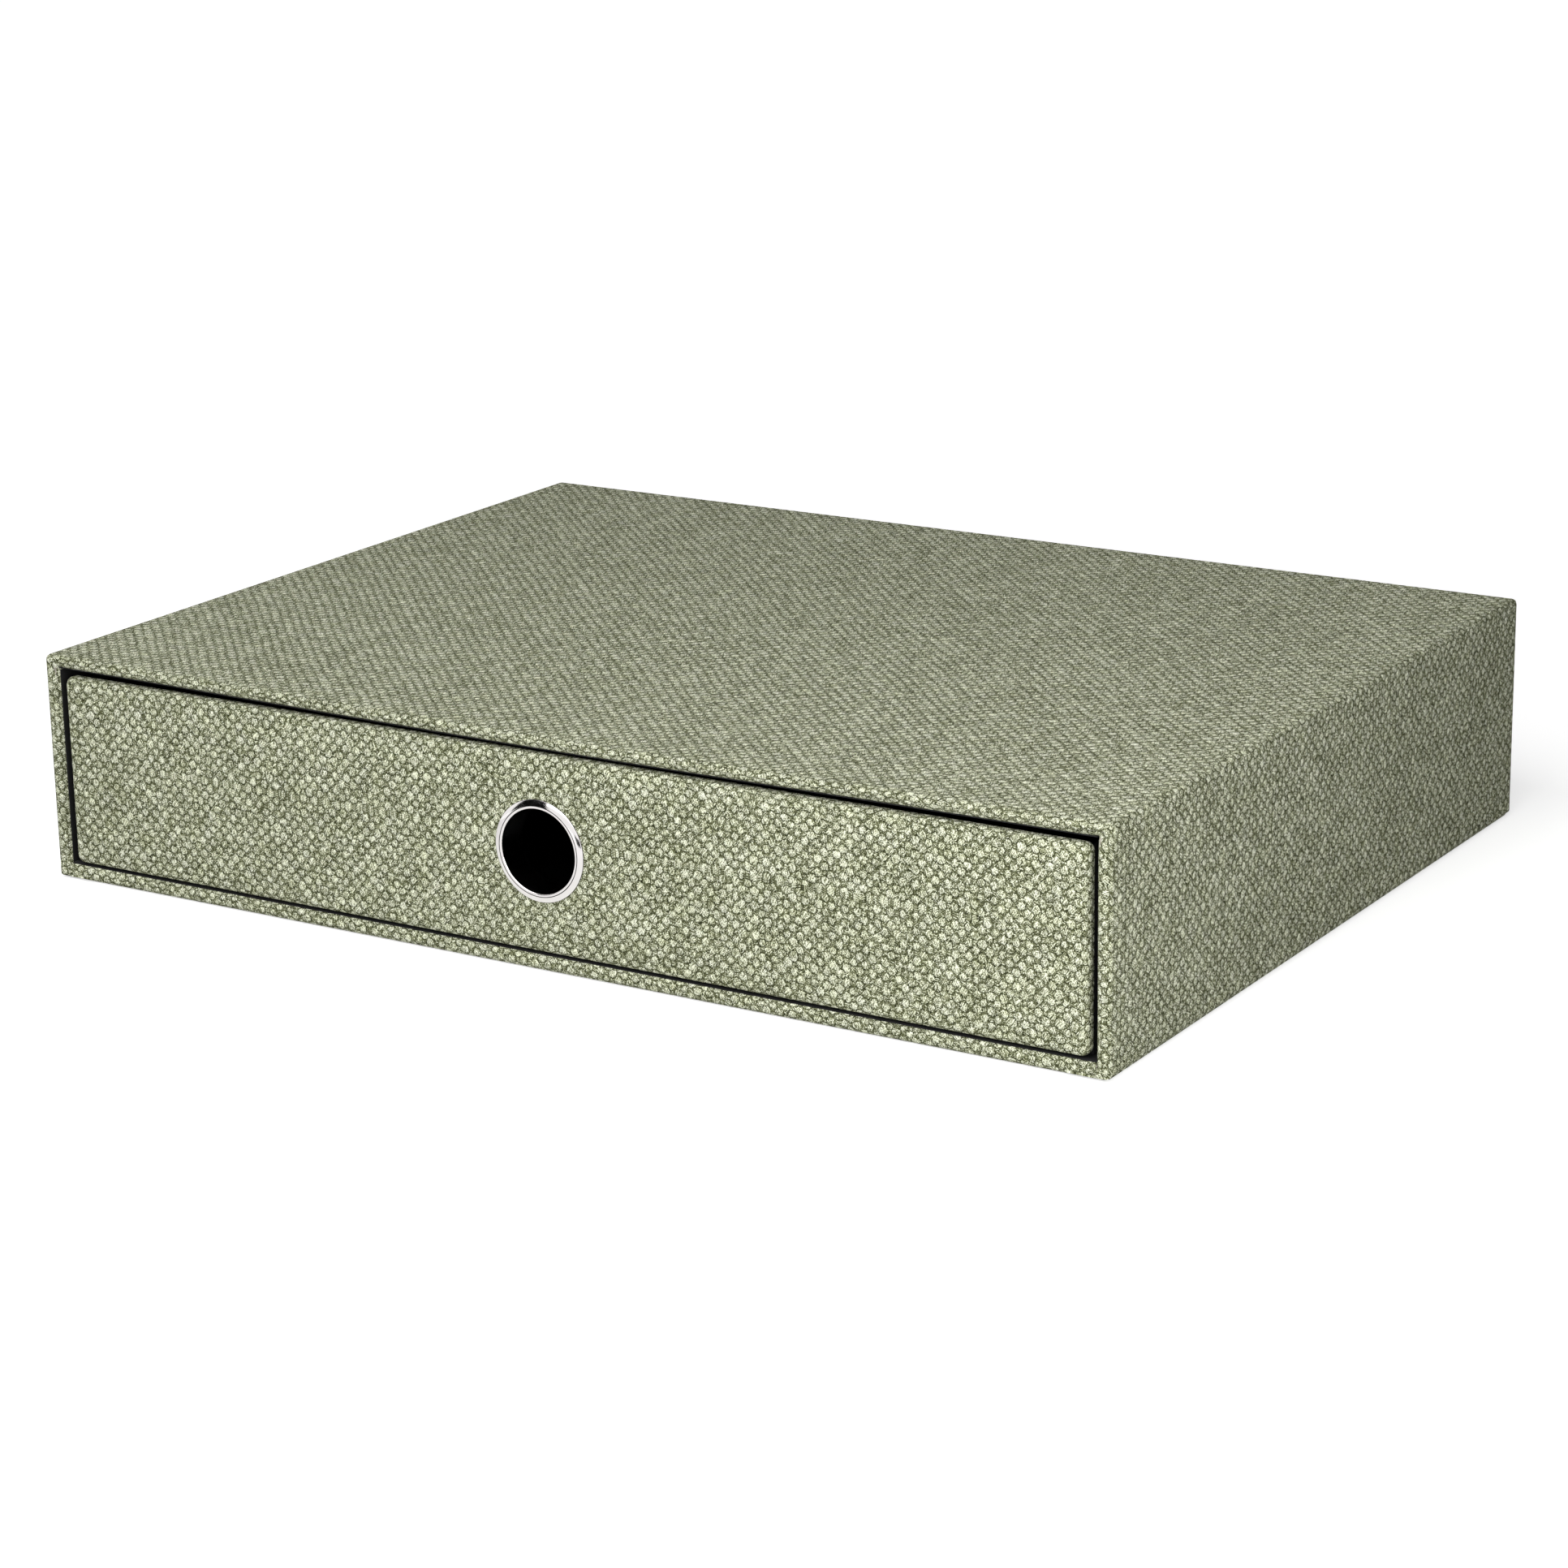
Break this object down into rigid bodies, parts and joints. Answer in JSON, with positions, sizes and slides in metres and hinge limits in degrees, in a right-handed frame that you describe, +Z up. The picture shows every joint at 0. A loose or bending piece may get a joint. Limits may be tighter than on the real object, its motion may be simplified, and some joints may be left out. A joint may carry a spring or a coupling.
{
  "type": "file box with drawer",
  "caption": "Low cloth-covered board casing, open at the front, with a paper-lined drawer that slides out by a metal finger eyelet.",
  "frame": {"origin": "middle of the underside, on the surface that the box stands on", "axes": "+X to the box's right, -Y out of its front, the way the drawer opens, +Z up"},
  "size_m": [0.335, 0.252, 0.065],
  "materials": {
    "woven_cloth": "matte",
    "black_paper": "matte",
    "greyboard": "matte",
    "chromed_steel": "polished"
  },
  "bodies": {
    "casing": {"casing_base_board": "greyboard", "casing_top_board": "greyboard", "casing_left_board": "greyboard", "casing_right_board": "greyboard", "casing_back_board": "greyboard", "casing_wrap_cloth": "woven_cloth", "casing_base_cloth": "woven_cloth", "casing_back_cloth": "woven_cloth", "casing_floor_lining": "black_paper", "casing_roof_lining": "black_paper", "casing_left_lining": "black_paper", "casing_right_lining": "black_paper", "casing_back_lining": "black_paper"},
    "drawer": {"drawer_base_board": "greyboard", "drawer_left_board": "greyboard", "drawer_right_board": "greyboard", "drawer_rear_board": "greyboard", "drawer_inner_front_board": "greyboard", "drawer_panel_board": "greyboard", "drawer_panel_cloth": "woven_cloth", "drawer_wrap_paper": "black_paper", "drawer_wall_lining": "black_paper", "drawer_floor_lining": "black_paper", "eyelet_ring": "chromed_steel", "eyelet_washer": "chromed_steel"}
  },
  "joints": [
    {"name": "drawer_slide", "type": "slide", "parent": "casing", "child": "drawer", "axis": [0, -1, 0], "range_m": [0, 0.22]}
  ]
}
